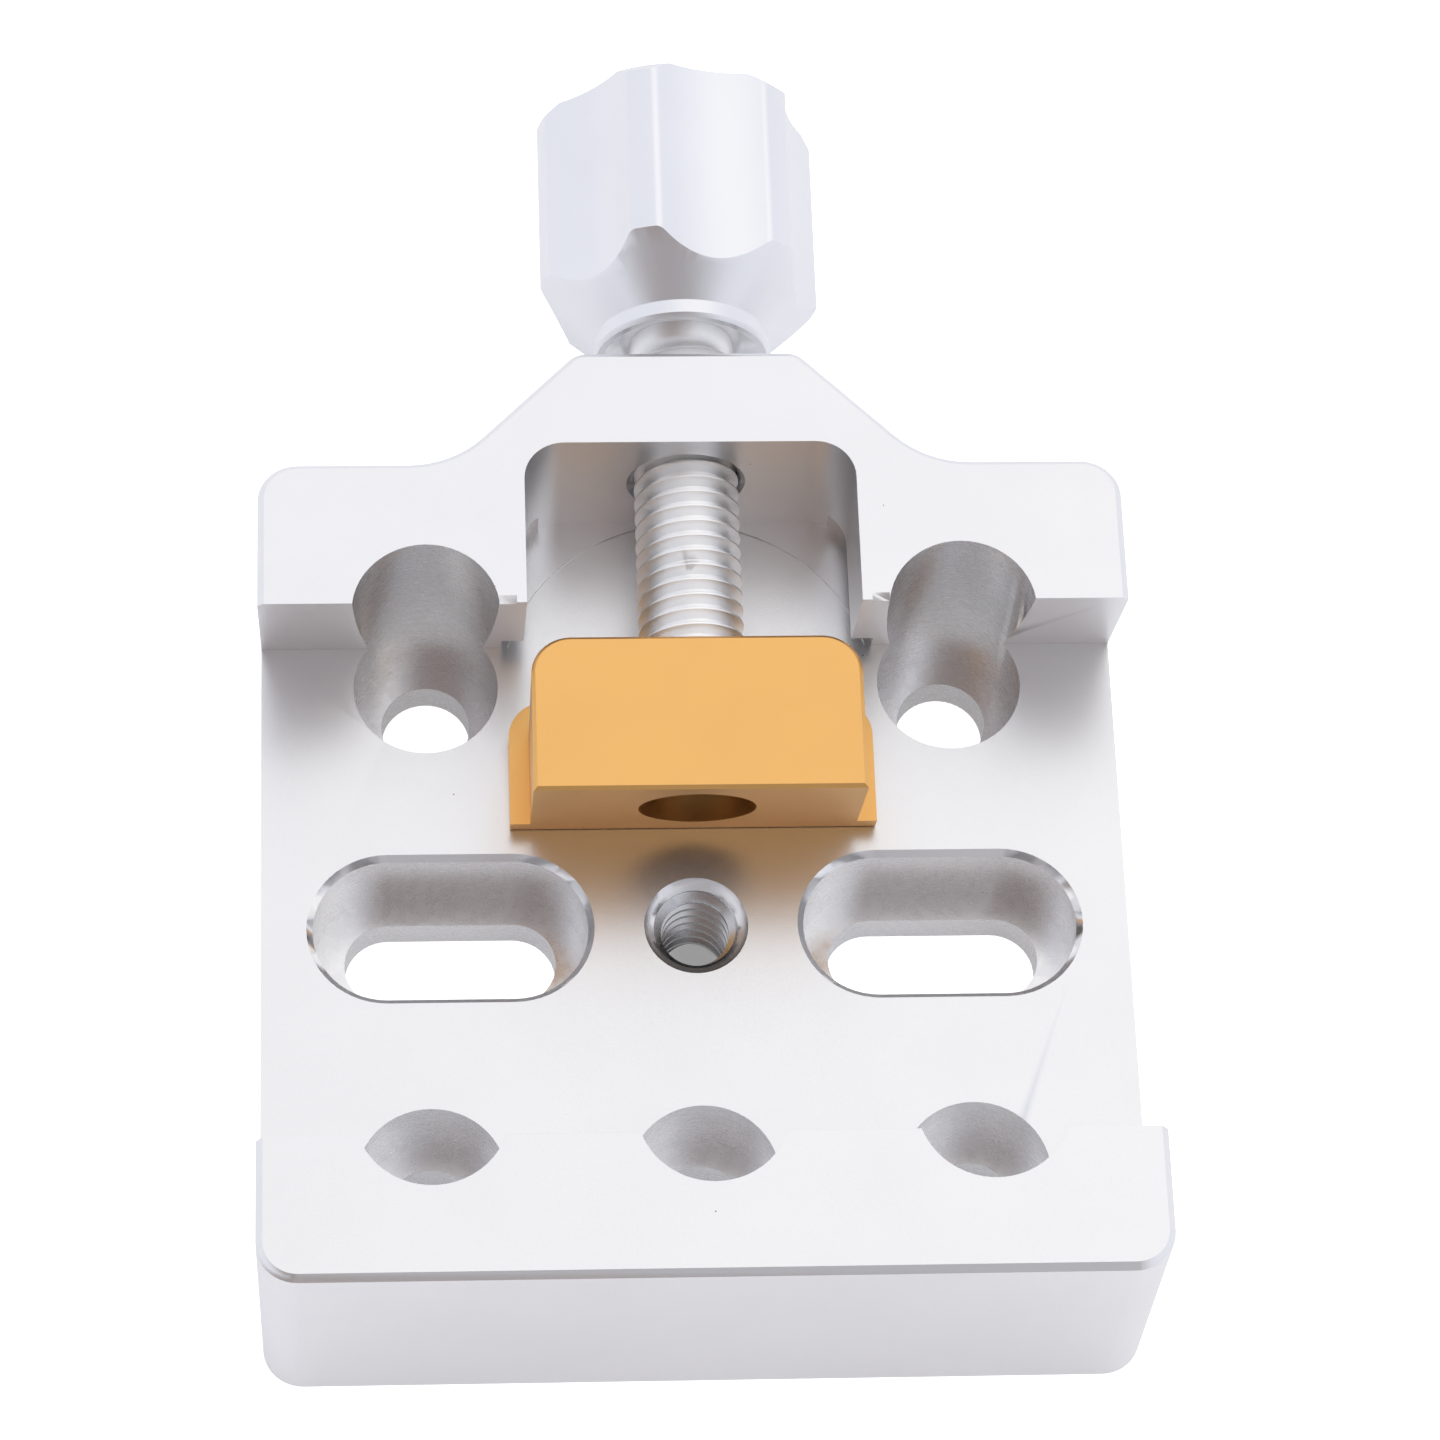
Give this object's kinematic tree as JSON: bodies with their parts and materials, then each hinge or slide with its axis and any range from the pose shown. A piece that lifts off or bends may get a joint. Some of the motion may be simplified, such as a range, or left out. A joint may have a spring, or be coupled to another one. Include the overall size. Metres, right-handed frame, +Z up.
{
  "type": "dovetail saddle clamp",
  "caption": "Square aluminium saddle with a dovetail channel, a screw-driven sliding jaw with a fluted knob, and counterbored holes and slots for mounting it on a tripod or plate.",
  "frame": {"origin": "on the underside, on the axis of the central tripod thread", "axes": "+X along the dovetail channel, +Y from the fixed jaw towards the knob, +Z up out of the channel"},
  "size_m": [0.065, 0.098, 0.0273],
  "materials": {
    "saddle_aluminium": "bead-blasted, clear anodised",
    "jaw_aluminium": "satin, gold anodised",
    "knob_aluminium": "satin, clear anodised",
    "screw_steel": "bright zinc plated",
    "fixing_steel": "plain steel"
  },
  "bodies": {
    "saddle": {"saddle_body": "saddle_aluminium"},
    "jaw": {"clamp_jaw": "jaw_aluminium"},
    "screw": {"clamp_screw": "screw_steel", "knob": "knob_aluminium", "knob_set_screw": "fixing_steel", "jaw_retaining_washer": "fixing_steel", "jaw_retaining_screw": "fixing_steel"}
  },
  "joints": [
    {"name": "jaw_slide", "type": "slide", "parent": "saddle", "child": "jaw", "axis": [0, 1, 0], "range_m": [-0.0025, 0.015]},
    {"name": "screw_turn", "type": "hinge", "parent": "jaw", "child": "screw", "pos_m": [0, 0.038, 0.0165], "axis": [0, 1, 0], "range_deg": [-720.5, 4320.5]}
  ],
  "couplings": [
    {"joint": "screw_turn", "follows": "jaw_slide", "rad_per_m": 5026.5}
  ]
}
